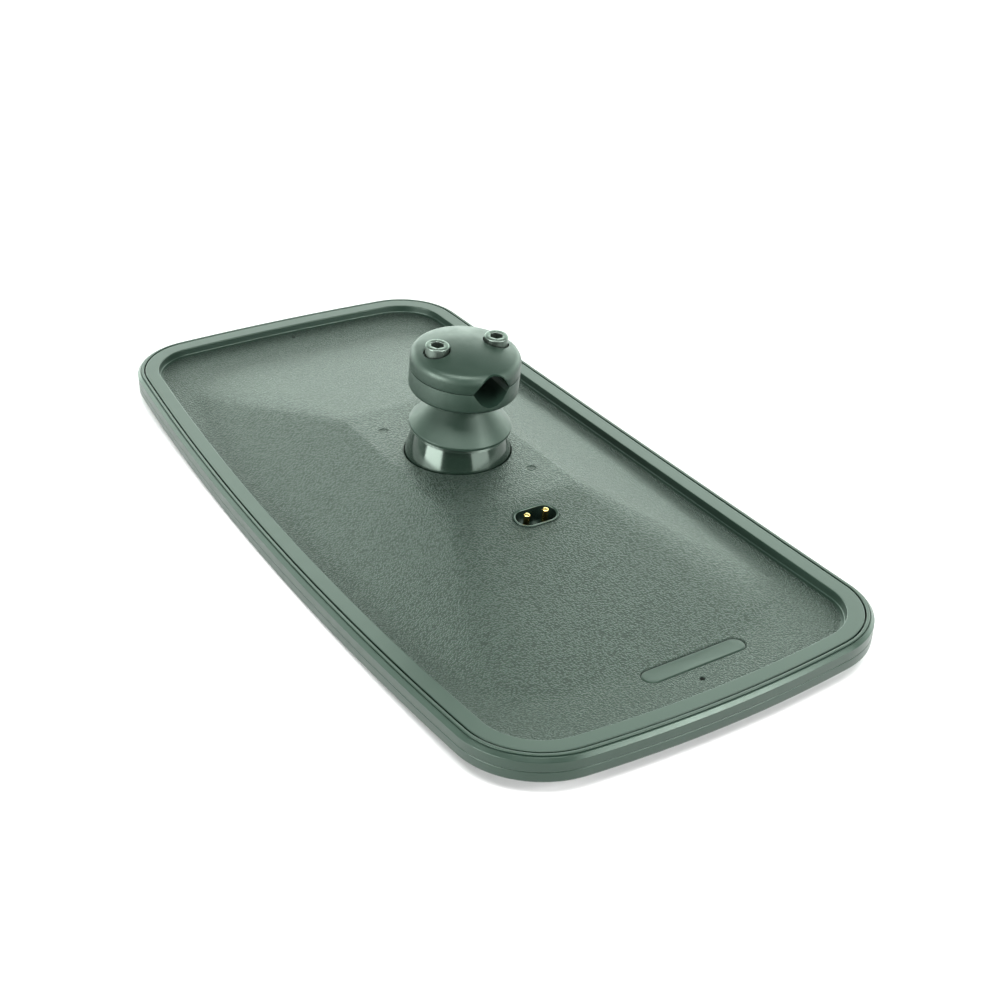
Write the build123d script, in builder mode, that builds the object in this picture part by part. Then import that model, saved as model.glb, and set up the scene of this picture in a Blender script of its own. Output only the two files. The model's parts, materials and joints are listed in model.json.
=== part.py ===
"""Heated convex vehicle mirror head on a ball joint, with a two-part clamp for its arm.

Frame: +X along the long side of the head, +Z out of its back, millimetres. The origin is under
the middle of the head, level with the lowest part of the glass-side rim.
"""
from math import cos, radians, sin, sqrt
import os

from build123d import *

# Head outline: four shallow arcs with rounded corners
half_length = 189.0
half_width = 93.25
long_bow = 2580.0
short_bow = 605.0
corner_radius = 34.5

# Everything in the head follows the glass, which bulges towards the driver
curve_radius = 2600.0
slab_stock = 60.0
shell_stock = 50.0
dish_reach = 230.0
piece_overlap = 0.5
cut_beyond = 1.0

# Heights in the head, counted from the underside of the rim along the curve
glass_low = 1.8
glass_high = 4.3
foil_high = 4.6
tape_high = 4.9
parting_high = 4.5
tongue_high = 5.6
ledge_low = 5.2
ledge_high = 6.8
floor_low = 4.9
floor_high = 6.9
rim_wall_high = 8.0
rim_high = 10.35
shoulder_high = 9.85

# Distances in from the outline
lip_inset = 8.0
rim_band = 3.2
glass_inset = 3.5
tongue_inset = 1.7
tongue_slot_inset = 1.6
shoulder_inset = 2.0
shell_inset = 3.8
rim_leg_inset = 5.8
ledge_inset = 6.5
seal_inset = 3.7
seal_inner_inset = 7.5
foil_inset = 8.5
tape_inset = 11.5
tape_inner_inset = 16.5
rim_wall_inset = 8.1
rim_inner_inset = 10.3
rim_toe_inset = 10.6
edge_round = 1.8
lip_round = 1.0

# The lowest place is the inner edge of the rim at the middle of a long side
rest_drop = (half_width - lip_inset) ** 2 / (2 * curve_radius)

# Raised back of the shell
plateau_z = 25.1
plateau_length = 100.0
plateau_width = 60.0
plateau_corner = 5.0
slope_drop = 21.0
slope_length = 390.0
slope_width = 168.0
slope_corner = 34.0
shell_wall = 2.4
shell_under_z = plateau_z - shell_wall
drain_places = ((-172.5, 1.0), (168.5, 3.5))
drain_radius = 1.0
badge_x = 157.9
badge_y = 8.2
badge_length = 46.8
badge_width = 9.2
badge_depth = 0.4

# Ball joint, a little off the middle of the head
ball_y = 1.0
ball_z = 23.6
ball_radius = 23.1
ball_wall = 3.6
ball_opening_radius = 12.8
ball_flange_radius = 25.8
ball_flange_thickness = 2.5
bore_clearance = 0.3
running_gap = 0.1
liner_thickness = 1.2
liner_low = 12.6
liner_high = 20.0
cup_edge_radius = 22.0
cup_edge_low = 14.4
cup_edge_high = 15.7
cup_neck_radius = 10.8
cup_neck_low = 28.0
cup_top = 29.7
cup_lip_round = 0.4
pressure_edge_low = 10.3
pressure_seat = 13.5
pressure_seat_radius = 9.5

# Backing plate and its screws
plate_length = 84.0
plate_width = 52.0
plate_thickness = 3.0
plate_bore_radius = 16.0
plate_corner = 6.0
plate_top_z = shell_under_z - ball_flange_thickness
plate_low_z = plate_top_z - plate_thickness
screw_x = 30.5
screw_y = 19.4
boss_radius = 4.5
screw_shank_radius = 2.0
screw_head_radius = 4.0
screw_head_height = 2.4
screw_tip_z = plateau_z - 1.9
mark_radius = 2.2
mark_depth = 0.3

# Pivot stud, spring stack and nut, counted along the clamp axis from the ball's centre
stud_radius = 4.0
stud_low = -1.5
stud_head_low = 31.2
stud_head_high = 33.8
stud_head_across = 13.0
disc_count = 3
disc_height = 1.3
disc_thickness = 0.8
disc_radius = 9.0
disc_bore_radius = 4.3
washer_radius = 8.0
washer_thickness = 1.6
nut_across = 13.0
nut_height = 8.0

# Arm clamp, counted the same way
lean_x = 6.3
lean_y = 0.9
arm_turn = 0.0
clamp_radius = 23.3
clamp_low = 32.9
clamp_boss_low = 29.8
clamp_boss_radius = 11.0
split_height = 42.7
split_gap = 0.3
clamp_bottom_round = 2.0
cap_side_high = 49.6
cap_top = 53.8
cap_round = 4.0
arm_radius = 7.1
groove_half_width = 8.6
screw_turn = 85.0
clamp_screw_offset = 13.5
clamp_screw_radius = 3.0
clamp_head_radius = 5.0
clamp_head_low = 49.3
clamp_head_high = 55.3
clamp_pocket_radius = 5.6
clamp_screw_low = 35.0
clamp_tap_low = 34.4
hex_across = 5.0
hex_depth = 3.2
head_bevel = 0.6

# Heater socket, square to the slope of the shell
socket_x = 62.0
socket_y = 1.6
socket_length = 20.0
socket_width = 11.8
socket_wall = 1.1
socket_depth = 7.0
socket_floor = 2.0
socket_lip = 0.4
socket_flange = 1.6
socket_flange_thickness = 1.2
pin_radius = 1.25
pin_spacing = 8.9
pin_root_radius = 0.9
pin_stand_out = 2.0
pin_tail = 2.0
lead_radius = 0.9
lead_bend_radius = 4.5
lead_floor_z = 7.2
lead_end_x = 77.0
terminal_length = 9.0
terminal_width = 5.0
terminal_plate = 0.8
barrel_length = 5.0
barrel_height = 3.2
terminal_z = 4.9


def curve_z(height, reach):
    """Height above the origin of a layer of the head, at a distance from the middle."""
    return curve_radius - rest_drop - sqrt((curve_radius - height) ** 2 - reach**2)


def curved_slab(inset, low, high):
    """Plate with the head's outline drawn in by inset, between two layers of its curve."""
    with BuildPart() as slab:
        with BuildSketch() as outline:
            with Locations((0, long_bow - half_width)):
                Circle(long_bow - inset)
            with Locations((0, half_width - long_bow)):
                Circle(long_bow - inset, mode=Mode.INTERSECT)
            with Locations((short_bow - half_length, 0)):
                Circle(short_bow - inset, mode=Mode.INTERSECT)
            with Locations((half_length - short_bow, 0)):
                Circle(short_bow - inset, mode=Mode.INTERSECT)
            fillet(outline.vertices(), corner_radius - inset)
        extrude(amount=slab_stock, both=True)
        with BuildSketch(Plane.XZ):
            with BuildLine():
                low_start = (0, curve_z(low, 0))
                low_middle = (dish_reach / 2, curve_z(low, dish_reach / 2))
                low_end = (dish_reach, curve_z(low, dish_reach))
                high_start = (0, curve_z(high, 0))
                high_middle = (dish_reach / 2, curve_z(high, dish_reach / 2))
                high_end = (dish_reach, curve_z(high, dish_reach))
                ThreePointArc(low_start, low_middle, low_end)
                Line(low_end, high_end)
                ThreePointArc(high_end, high_middle, high_start)
                Line(high_start, low_start)
            make_face()
        revolve(axis=Axis.Z, mode=Mode.INTERSECT)
    return slab.part


def curved_ring(outer_inset, inner_inset, low, high):
    """Band that follows the outline between two insets and two layers."""
    return curved_slab(outer_inset, low, high) - curved_slab(
        inner_inset, low - cut_beyond, high + cut_beyond
    )


def raised_back(drop):
    """Four-sided rise under the plateau, lowered by drop."""
    with BuildPart() as rise:
        with BuildSketch(Plane.XY.offset(plateau_z - slope_drop - drop)):
            RectangleRounded(slope_length, slope_width, slope_corner)
        with BuildSketch(Plane.XY.offset(plateau_z - drop)):
            RectangleRounded(plateau_length, plateau_width, plateau_corner)
        loft(ruled=True)
    return rise.part


def export(part, name):
    """Label a finished piece and write it."""
    part.label = name
    export_step(part, f"parts/{name}.step")


os.makedirs("parts", exist_ok=True)

# ---------------------------------------------------------------- rim and glass

lip_band = curved_slab(0, 0, parting_high)
glass_pocket = curved_slab(rim_band, glass_low, parting_high + cut_beyond)
glass_window = curved_slab(lip_inset, -cut_beyond, glass_low + cut_beyond)
bezel_tongue = curved_ring(tongue_inset, rim_band, parting_high - piece_overlap, tongue_high)
with BuildPart() as front_bezel:
    add(lip_band)
    underside = front_bezel.faces().filter_by(GeomType.SPHERE).sort_by(Axis.Z)[0]
    fillet(underside.outer_wire().edges(), lip_round)
    add(glass_pocket, mode=Mode.SUBTRACT)
    add(glass_window, mode=Mode.SUBTRACT)
    add(bezel_tongue)
export(front_bezel.part, "front_bezel")

frame_band = curved_slab(0, parting_high, shoulder_high)
frame_opening = curved_slab(rim_band, 0, rim_high + cut_beyond)
frame_bead = curved_ring(shoulder_inset, rim_band, shoulder_high - piece_overlap, rim_high)
ledge_start = tongue_high + running_gap
frame_slot = curved_ring(
    tongue_slot_inset, rim_band + cut_beyond, parting_high - cut_beyond, ledge_start
)
frame_ledge = curved_ring(rim_band - piece_overlap, ledge_inset, ledge_start, ledge_high)
frame_ledge_step = curved_ring(rim_band + running_gap, ledge_inset, ledge_low, ledge_high)
with BuildPart() as edge_frame:
    add(frame_band)
    shoulder = edge_frame.faces().filter_by(GeomType.SPHERE).sort_by(Axis.Z)[-1]
    fillet(shoulder.outer_wire().edges(), edge_round)
    add(frame_opening, mode=Mode.SUBTRACT)
    add(frame_bead)
    add(frame_slot, mode=Mode.SUBTRACT)
    add(frame_ledge)
    add(frame_ledge_step)
export(edge_frame.part, "edge_frame")

glass_blank = curved_slab(glass_inset, glass_low, glass_high)
with BuildPart() as mirror_glass:
    add(glass_blank)
export(mirror_glass.part, "mirror_glass")

seal_band = curved_ring(seal_inset, seal_inner_inset, glass_high, ledge_low)
with BuildPart() as glass_seal:
    add(seal_band)
export(glass_seal.part, "glass_seal")

foil_blank = curved_slab(foil_inset, glass_high, foil_high)
with BuildPart() as heater_foil:
    add(foil_blank)
export(heater_foil.part, "heater_foil")

tape_band = curved_ring(tape_inset, tape_inner_inset, foil_high, tape_high)
with BuildPart() as foam_tape:
    add(tape_band)
export(foam_tape.part, "foam_tape")

# ---------------------------------------------------------------- back shell

slope_angle = Vector(slope_drop, 0, (slope_length - plateau_length) / 2).get_angle(Vector(0, 0, 1))
socket_surface_z = plateau_z - slope_drop * (socket_x - plateau_length / 2) / (
    (slope_length - plateau_length) / 2
)
socket_normal = (sin(radians(slope_angle)), 0, cos(radians(slope_angle)))
socket_plane = Plane(
    origin=(socket_x, socket_y, socket_surface_z),
    x_dir=(0, 1, 0),
    z_dir=socket_normal,
)

rim_top = curved_ring(shell_inset, rim_inner_inset, rim_wall_high, rim_high)
rim_leg = curved_ring(shell_inset, rim_leg_inset, ledge_high, rim_wall_high)
rim_wall = curved_ring(rim_wall_inset, rim_toe_inset, floor_low, rim_wall_high)
recess_floor = curved_slab(rim_wall_inset, floor_low, floor_high)
outer_rise = raised_back(0)
inner_rise = raised_back(shell_wall)
rise_limit = curved_slab(rim_toe_inset, floor_low, shell_stock)
badge_layer = curved_slab(rim_toe_inset, floor_high - badge_depth, shell_stock)
with BuildPart() as badge_cut:
    with BuildSketch():
        with Locations((badge_x, badge_y)):
            SlotOverall(badge_length, badge_width, rotation=90)
    extrude(amount=slab_stock)
    add(badge_layer, mode=Mode.INTERSECT)
badge_stock = badge_cut.part
with BuildPart() as back_shell:
    add(outer_rise)
    add(rise_limit, mode=Mode.INTERSECT)
    add(recess_floor)
    add(inner_rise, mode=Mode.SUBTRACT)
    add(rim_wall)
    add(rim_leg)
    add(rim_top)
    with Locations((0, ball_y, shell_under_z)):
        Hole(ball_radius + bore_clearance, depth=2 * shell_wall)
    with BuildSketch(Plane.XY.offset(plate_top_z)):
        with GridLocations(2 * screw_x, 2 * screw_y, 2, 2):
            Circle(boss_radius)
    extrude(amount=shell_under_z - plate_top_z)
    with BuildSketch(Plane.XY.offset(plate_top_z)):
        with GridLocations(2 * screw_x, 2 * screw_y, 2, 2):
            Circle(screw_shank_radius)
    extrude(amount=screw_tip_z - plate_top_z, mode=Mode.SUBTRACT)
    with BuildSketch(Plane.XY.offset(plateau_z - mark_depth)):
        with GridLocations(2 * screw_x, 2 * screw_y, 2, 2):
            Circle(mark_radius)
    extrude(amount=2 * mark_depth, mode=Mode.SUBTRACT)
    with BuildSketch(Plane.XY):
        with Locations(*drain_places):
            Circle(drain_radius)
    extrude(amount=slab_stock, mode=Mode.SUBTRACT)
    with BuildSketch(socket_plane.offset(-socket_depth)):
        SlotOverall(socket_length, socket_width)
    extrude(amount=2 * socket_depth, mode=Mode.SUBTRACT)
    add(badge_stock, mode=Mode.SUBTRACT)
export(back_shell.part, "back_shell")

# ---------------------------------------------------------------- things inside the head

with BuildPart() as foil_terminals:
    with BuildSketch(Plane.XY.offset(terminal_z)):
        with Locations((lead_end_x + terminal_length / 2, socket_y)):
            with GridLocations(0, pin_spacing, 1, 2):
                Rectangle(terminal_length, terminal_width)
    extrude(amount=terminal_plate)
    with BuildSketch(Plane.XY.offset(lead_floor_z - barrel_height / 2)):
        with Locations((lead_end_x + barrel_length / 2, socket_y)):
            with GridLocations(0, pin_spacing, 1, 2):
                Rectangle(barrel_length, barrel_height)
    extrude(amount=barrel_height)
export(foil_terminals.part, "foil_terminals")

with BuildPart() as heater_leads:
    for side in (-1, 1):
        tail = socket_plane.from_local_coords(
            (side * pin_spacing / 2, 0, -socket_depth - socket_floor - pin_tail)
        )
        with BuildLine():
            lead_route = FilletPolyline(
                tail,
                (tail.X - (tail.Z - lead_floor_z) * socket_normal[0], tail.Y, lead_floor_z),
                (lead_end_x, tail.Y, lead_floor_z),
                radius=lead_bend_radius,
            )
        with BuildSketch(Plane(origin=lead_route @ 0, z_dir=lead_route % 0)):
            Circle(lead_radius)
        sweep(path=lead_route)
export(heater_leads.part, "heater_leads")

with BuildPart() as connector_housing:
    with BuildSketch(socket_plane.offset(-socket_depth - socket_floor)):
        SlotOverall(socket_length, socket_width)
    extrude(amount=socket_depth + socket_floor + socket_lip)
    with BuildSketch(socket_plane.offset(-shell_wall - socket_flange_thickness)):
        SlotOverall(socket_length + 2 * socket_flange, socket_width + 2 * socket_flange)
    extrude(amount=socket_flange_thickness)
    with BuildSketch(socket_plane.offset(-socket_depth)):
        SlotOverall(socket_length - 2 * socket_wall, socket_width - 2 * socket_wall)
    extrude(amount=2 * socket_depth, mode=Mode.SUBTRACT)
    with BuildSketch(socket_plane.offset(-2 * socket_depth)):
        with GridLocations(pin_spacing, 0, 2, 1):
            Circle(pin_root_radius)
    extrude(amount=2 * socket_depth, mode=Mode.SUBTRACT)
export(connector_housing.part, "connector_housing")

with BuildPart() as terminal_pins:
    with BuildSketch(socket_plane.offset(-socket_depth - socket_floor - pin_tail)):
        with GridLocations(pin_spacing, 0, 2, 1):
            Circle(pin_root_radius)
    extrude(amount=socket_floor + pin_tail)
    with BuildSketch(socket_plane.offset(-socket_depth)):
        with GridLocations(pin_spacing, 0, 2, 1):
            Circle(pin_radius)
    extrude(amount=socket_depth + pin_stand_out)
    pin_ends = terminal_pins.faces().filter_by(GeomType.PLANE).sort_by(Axis.Z)[-2:]
    chamfer(pin_ends.edges(), pin_radius / 4)
export(terminal_pins.part, "terminal_pins")

with BuildPart() as reinforcement_plate:
    with BuildSketch(Plane.XY.offset(plate_low_z)):
        RectangleRounded(plate_length, plate_width, plate_corner)
        with Locations((0, ball_y)):
            Circle(plate_bore_radius, mode=Mode.SUBTRACT)
        with GridLocations(2 * screw_x, 2 * screw_y, 2, 2):
            Circle(screw_shank_radius + bore_clearance, mode=Mode.SUBTRACT)
    extrude(amount=plate_thickness)
export(reinforcement_plate.part, "reinforcement_plate")

with BuildPart() as plate_screws:
    with BuildSketch(Plane.XY.offset(plate_low_z - screw_head_height)):
        with GridLocations(2 * screw_x, 2 * screw_y, 2, 2):
            Circle(screw_head_radius)
    extrude(amount=screw_head_height)
    with BuildSketch(Plane.XY.offset(plate_low_z)):
        with GridLocations(2 * screw_x, 2 * screw_y, 2, 2):
            Circle(screw_shank_radius)
    extrude(amount=screw_tip_z - plate_low_z - mark_depth)
export(plate_screws.part, "plate_screws")

# ---------------------------------------------------------------- ball joint

ball_foot_radius = sqrt(ball_radius**2 - (shell_under_z - ball_z) ** 2)
ball_inner_radius = ball_radius - ball_wall
ball_top_z = ball_z + sqrt(ball_radius**2 - ball_opening_radius**2)
ball_inner_top_z = ball_z + sqrt(ball_inner_radius**2 - ball_opening_radius**2)


def sphere_point(radius, height, base):
    """Point in a half section, on a circle round the ball's centre at a height above it."""
    return (sqrt(radius**2 - height**2), base + height)


with BuildPart() as ball_centred:
    with BuildSketch(Plane.XZ):
        with BuildLine():
            crown = (ball_opening_radius, ball_top_z)
            inner_crown = (ball_opening_radius, ball_inner_top_z)
            Polyline(
                (ball_inner_radius, plate_top_z),
                (ball_flange_radius, plate_top_z),
                (ball_flange_radius, shell_under_z),
                (ball_foot_radius, shell_under_z),
            )
            ThreePointArc(
                (ball_foot_radius, shell_under_z), sphere_point(ball_radius, ball_radius / 2, ball_z), crown
            )
            Line(crown, inner_crown)
            ThreePointArc(
                inner_crown,
                sphere_point(ball_inner_radius, ball_inner_radius / 3, ball_z),
                (ball_inner_radius, ball_z),
            )
            Line((ball_inner_radius, ball_z), (ball_inner_radius, plate_top_z))
        make_face()
    revolve(axis=Axis.Z)
ball_dome = Pos(0, ball_y, 0) * ball_centred.part
export(ball_dome, "ball_dome")

# The stack above the ball leans; its pieces are drawn upright about the ball's centre and turned
clamp_frame = Plane((0, ball_y, ball_z)).rotated((-lean_y, lean_x, 0))


def turned(piece):
    """A piece drawn upright about the ball's centre, leaned over with the clamp."""
    return clamp_frame.location * piece


with BuildPart() as liner_upright:
    with BuildSketch(Plane.XZ):
        with BuildLine():
            liner_inner = ball_radius + running_gap
            liner_outer = liner_inner + liner_thickness
            middle = (liner_low + liner_high) / 2
            ThreePointArc(
                sphere_point(liner_inner, liner_low, 0),
                sphere_point(liner_inner, middle, 0),
                sphere_point(liner_inner, liner_high, 0),
            )
            ThreePointArc(
                sphere_point(liner_outer, liner_low, 0),
                sphere_point(liner_outer, middle, 0),
                sphere_point(liner_outer, liner_high, 0),
            )
            Line(sphere_point(liner_inner, liner_low, 0), sphere_point(liner_outer, liner_low, 0))
            Line(sphere_point(liner_inner, liner_high, 0), sphere_point(liner_outer, liner_high, 0))
        make_face()
    revolve(axis=Axis.Z)
friction_liner = turned(liner_upright.part)
export(friction_liner, "friction_liner")

with BuildPart() as cup_upright:
    with BuildSketch(Plane.XZ):
        with BuildLine():
            cup_inner = liner_outer + running_gap
            bore = stud_radius + running_gap
            cup_crown = (bore, sqrt(cup_inner**2 - bore**2))
            Polyline(
                sphere_point(cup_inner, cup_edge_low, 0),
                (cup_edge_radius, cup_edge_low),
                (cup_edge_radius, cup_edge_high),
                (cup_neck_radius, cup_neck_low),
                (cup_neck_radius, cup_top),
                (bore, cup_top),
                cup_crown,
            )
            ThreePointArc(
                cup_crown,
                sphere_point(cup_inner, (cup_edge_low + cup_inner) / 2, 0),
                sphere_point(cup_inner, cup_edge_low, 0),
            )
        make_face()
    revolve(axis=Axis.Z)
    cup_edges = cup_upright.edges().filter_by(GeomType.CIRCLE)
    lip_edges = cup_edges.filter_by(lambda edge: abs(edge.radius - cup_edge_radius) < running_gap)
    fillet(lip_edges, cup_lip_round)
cone_cup = turned(cup_upright.part)
export(cone_cup, "cone_cup")

with BuildPart() as pressure_upright:
    with BuildSketch(Plane.XZ):
        with BuildLine():
            pad_radius = ball_inner_radius - running_gap
            pad_crown = (bore, sqrt(pad_radius**2 - bore**2))
            ThreePointArc(
                pad_crown,
                sphere_point(pad_radius, (pressure_edge_low + pad_radius) / 2, 0),
                sphere_point(pad_radius, pressure_edge_low, 0),
            )
            Polyline(
                sphere_point(pad_radius, pressure_edge_low, 0),
                (pressure_seat_radius, pressure_edge_low),
                (pressure_seat_radius, pressure_seat),
                (bore, pressure_seat),
                pad_crown,
            )
        make_face()
    revolve(axis=Axis.Z)
pressure_cup = turned(pressure_upright.part)
export(pressure_cup, "pressure_cup")

with BuildPart() as springs_upright:
    for count in range(disc_count):
        top = pressure_seat - count * disc_height
        rise = disc_height - disc_thickness
        outer_drop = rise * (count % 2)
        inner_drop = rise - outer_drop
        with BuildSketch(Plane.XZ):
            with BuildLine():
                Polyline(
                    (disc_bore_radius, top - inner_drop),
                    (disc_radius, top - outer_drop),
                    (disc_radius, top - outer_drop - disc_thickness),
                    (disc_bore_radius, top - inner_drop - disc_thickness),
                    close=True,
                )
            make_face()
        revolve(axis=Axis.Z)
disc_springs = turned(springs_upright.part)
export(disc_springs, "disc_springs")

washer_top = pressure_seat - disc_count * disc_height
with BuildPart() as washer_upright:
    with BuildSketch(Plane.XY.offset(washer_top - washer_thickness)):
        Circle(washer_radius)
        Circle(disc_bore_radius, mode=Mode.SUBTRACT)
    extrude(amount=washer_thickness)
thrust_washer = turned(washer_upright.part)
export(thrust_washer, "thrust_washer")

nut_top = washer_top - washer_thickness
with BuildPart() as nut_upright:
    with BuildSketch(Plane.XY.offset(nut_top - nut_height)):
        RegularPolygon(nut_across / 2, 6, major_radius=False)
        Circle(stud_radius, mode=Mode.SUBTRACT)
    extrude(amount=nut_height)
lock_nut = turned(nut_upright.part)
export(lock_nut, "lock_nut")

with BuildPart() as stud_upright:
    with BuildSketch(Plane.XY.offset(stud_low)):
        Circle(stud_radius)
    extrude(amount=stud_head_low - stud_low)
    with BuildSketch(Plane.XY.offset(stud_head_low)):
        RegularPolygon(stud_head_across / 2, 6, major_radius=False)
    extrude(amount=stud_head_high - stud_head_low)
pivot_stud = turned(stud_upright.part)
export(pivot_stud, "pivot_stud")

# ---------------------------------------------------------------- arm clamp

arm_direction = (cos(radians(arm_turn)), sin(radians(arm_turn)), 0)
arm_plane = Plane(
    origin=(0, 0, split_height),
    x_dir=(-arm_direction[1], arm_direction[0], 0),
    z_dir=arm_direction,
)
# Each groove is a rounded V: an arc round the arm with flanks that touch it
tangent_reach = arm_radius**2 / groove_half_width
tangent_height = sqrt(arm_radius**2 - tangent_reach**2)
screw_places = PolarLocations(clamp_screw_offset, 2, start_angle=screw_turn).locations

with BuildPart() as arm_space:
    with BuildSketch(arm_plane):
        Circle(arm_radius)
        Polygon(
            (groove_half_width, 0),
            (tangent_reach, tangent_height),
            (-tangent_reach, tangent_height),
            (-groove_half_width, 0),
            (-tangent_reach, -tangent_height),
            (tangent_reach, -tangent_height),
        )
    extrude(amount=2 * clamp_radius, both=True)

with BuildPart() as base_upright:
    with BuildSketch(Plane.XY.offset(clamp_low)):
        Circle(clamp_radius)
    extrude(amount=split_height - split_gap / 2 - clamp_low)
    base_edge = base_upright.edges().filter_by(GeomType.CIRCLE).sort_by(Axis.Z)[0]
    fillet(base_edge, clamp_bottom_round)
    with BuildSketch(Plane.XY.offset(clamp_boss_low)):
        Circle(clamp_boss_radius)
    extrude(amount=clamp_low - clamp_boss_low + clamp_bottom_round)
    add(arm_space.part, mode=Mode.SUBTRACT)
    with BuildSketch(Plane.XY.offset(clamp_tap_low)):
        with Locations(screw_places):
            Circle(clamp_screw_radius + running_gap / 2)
    extrude(amount=split_height - clamp_tap_low, mode=Mode.SUBTRACT)
    add(stud_upright.part, mode=Mode.SUBTRACT)
clamp_base = turned(base_upright.part)
export(clamp_base, "clamp_base")

with BuildPart() as cap_upright:
    with BuildSketch(Plane.XZ):
        with BuildLine():
            cap_low = split_height + split_gap / 2
            dome_radius = (clamp_radius**2 + (cap_top - cap_side_high) ** 2) / (
                2 * (cap_top - cap_side_high)
            )
            half_reach = clamp_radius / 2
            Polyline((0, cap_top), (0, cap_low), (clamp_radius, cap_low), (clamp_radius, cap_side_high))
            ThreePointArc(
                (clamp_radius, cap_side_high),
                (half_reach, cap_top - dome_radius + sqrt(dome_radius**2 - half_reach**2)),
                (0, cap_top),
            )
        make_face()
    revolve(axis=Axis.Z)
    cap_edges = cap_upright.edges().filter_by(GeomType.CIRCLE)
    wide_edges = cap_edges.filter_by(lambda edge: abs(edge.radius - clamp_radius) < running_gap)
    fillet(wide_edges.sort_by(Axis.Z)[-1], cap_round)
    add(arm_space.part, mode=Mode.SUBTRACT)
    with BuildSketch(Plane.XY.offset(cap_low)):
        with Locations(screw_places):
            Circle(clamp_screw_radius + running_gap / 2)
    extrude(amount=cap_top - cap_low, mode=Mode.SUBTRACT)
    with BuildSketch(Plane.XY.offset(clamp_head_low)):
        with Locations(screw_places):
            Circle(clamp_pocket_radius)
    extrude(amount=cap_top - clamp_head_low, mode=Mode.SUBTRACT)
clamp_cap = turned(cap_upright.part)
export(clamp_cap, "clamp_cap")

for letter, place in zip("ab", screw_places):
    with BuildPart() as screw_upright:
        with BuildSketch(Plane.XY.offset(clamp_screw_low)):
            with Locations(place):
                Circle(clamp_screw_radius)
        extrude(amount=clamp_head_low - clamp_screw_low)
        with BuildSketch(Plane.XY.offset(clamp_head_low)):
            with Locations(place):
                Circle(clamp_head_radius)
        extrude(amount=clamp_head_high - clamp_head_low)
        head_edge = screw_upright.edges().filter_by(GeomType.CIRCLE).sort_by(Axis.Z)[-1]
        chamfer(head_edge, head_bevel)
        with BuildSketch(Plane.XY.offset(clamp_head_high - hex_depth)):
            with Locations(place):
                RegularPolygon(hex_across / 2, 6, major_radius=False)
        extrude(amount=hex_depth, mode=Mode.SUBTRACT)
    export(turned(screw_upright.part), f"clamp_screw_{letter}")
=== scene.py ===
"""Looks of the heated vehicle mirror head: metres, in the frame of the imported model.

The rim pieces are sections swept along the head's outline, the back shell is a height field inside
its rim, and the pieces of the ball joint and clamp are turned about their own axes.
"""

import json
import math

import bmesh
import bpy
import numpy as np
from mathutils import Matrix, Vector
from mathutils.geometry import delaunay_2d_cdt


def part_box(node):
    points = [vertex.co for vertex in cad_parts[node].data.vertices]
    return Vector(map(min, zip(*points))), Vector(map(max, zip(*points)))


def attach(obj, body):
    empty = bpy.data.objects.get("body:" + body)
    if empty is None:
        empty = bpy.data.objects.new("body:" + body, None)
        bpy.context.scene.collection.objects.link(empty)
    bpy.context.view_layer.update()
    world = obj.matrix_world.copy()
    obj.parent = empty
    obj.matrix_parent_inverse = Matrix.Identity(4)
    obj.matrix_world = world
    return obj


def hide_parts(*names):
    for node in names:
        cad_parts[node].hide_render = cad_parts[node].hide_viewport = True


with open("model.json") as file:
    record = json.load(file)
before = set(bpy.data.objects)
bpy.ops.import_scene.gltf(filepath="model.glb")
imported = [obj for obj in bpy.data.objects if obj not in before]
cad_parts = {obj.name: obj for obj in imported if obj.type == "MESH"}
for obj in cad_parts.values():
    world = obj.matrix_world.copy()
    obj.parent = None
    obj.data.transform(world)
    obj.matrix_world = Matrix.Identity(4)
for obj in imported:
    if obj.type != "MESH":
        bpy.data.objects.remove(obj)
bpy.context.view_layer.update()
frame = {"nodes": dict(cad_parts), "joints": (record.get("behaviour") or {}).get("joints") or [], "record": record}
nodes = frame["nodes"]
MM = 0.001

# ---------------------------------------------------------------- sizes, in metres

half_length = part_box("edge_frame")[1].x
half_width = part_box("edge_frame")[1].y
long_bow = 2.580
short_bow = 0.605
corner_radius = 0.0345
curve_radius = 2.600
lip_inset = 8.0 * MM
rest_drop = (half_width - lip_inset) ** 2 / (2 * curve_radius)

glass_low = 1.8 * MM
glass_high = 4.3 * MM
parting_high = 4.5 * MM
tongue_high = 5.6 * MM
tongue_out = 1.7 * MM
tongue_in = 3.2 * MM
seat_low = 5.2 * MM
seat_high = 6.8 * MM
frame_in = 6.5 * MM
bevel_low = 8.5 * MM
bevel_run = 1.3 * MM
rim_shoulder = 9.85 * MM
rim_top = 10.35 * MM
bead_out = 2.0 * MM
rim_in = 10.3 * MM
rim_toe = 10.6 * MM
rib_high = 8.0 * MM
fit_gap = 0.1 * MM

floor_low = 4.9 * MM
floor_high = 6.9 * MM
join_inset = 12.2 * MM

plateau_z = 25.1 * MM
plateau_half = (50.0 * MM, 30.0 * MM)
plateau_corner = 5.0 * MM
slope_drop = 21.0 * MM
slope_half = (195.0 * MM, 84.0 * MM)
slope_corner = 34.0 * MM
shell_wall = 2.4 * MM
crease_share = 0.008
foot_blend = 0.5 * MM

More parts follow.
